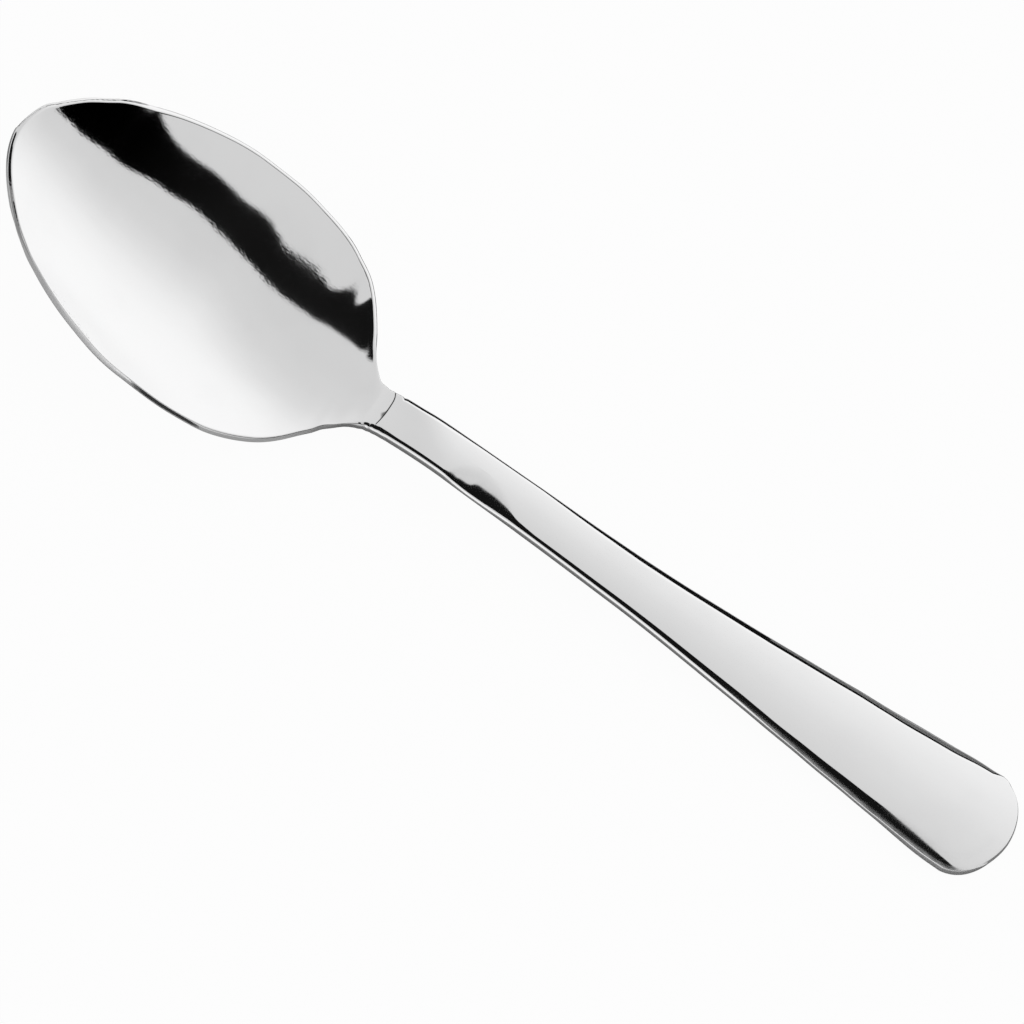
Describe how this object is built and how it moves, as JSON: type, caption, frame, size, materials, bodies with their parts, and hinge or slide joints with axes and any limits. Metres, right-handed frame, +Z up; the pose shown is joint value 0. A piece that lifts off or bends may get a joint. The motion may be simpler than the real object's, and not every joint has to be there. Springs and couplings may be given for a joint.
{
  "type": "serving spoon",
  "caption": "Plain polished steel serving spoon with an egg-shaped bowl, a cranked neck with a seam across it and a flat flared handle with a rounded end.",
  "frame": {"origin": "on the resting surface, under the centre of the spoon's bounding box", "axes": "+X along the spoon from the bowl's tip to the end of the handle, +Y across the bowl, +Z up out of the bowl"},
  "size_m": [0.2106, 0.052, 0.0142],
  "materials": {
    "polished_steel": "mirror-polished stainless steel with faint polishing lines"
  },
  "bodies": {
    "root": {"bowl": "polished_steel", "handle": "polished_steel"}
  },
  "joints": []
}
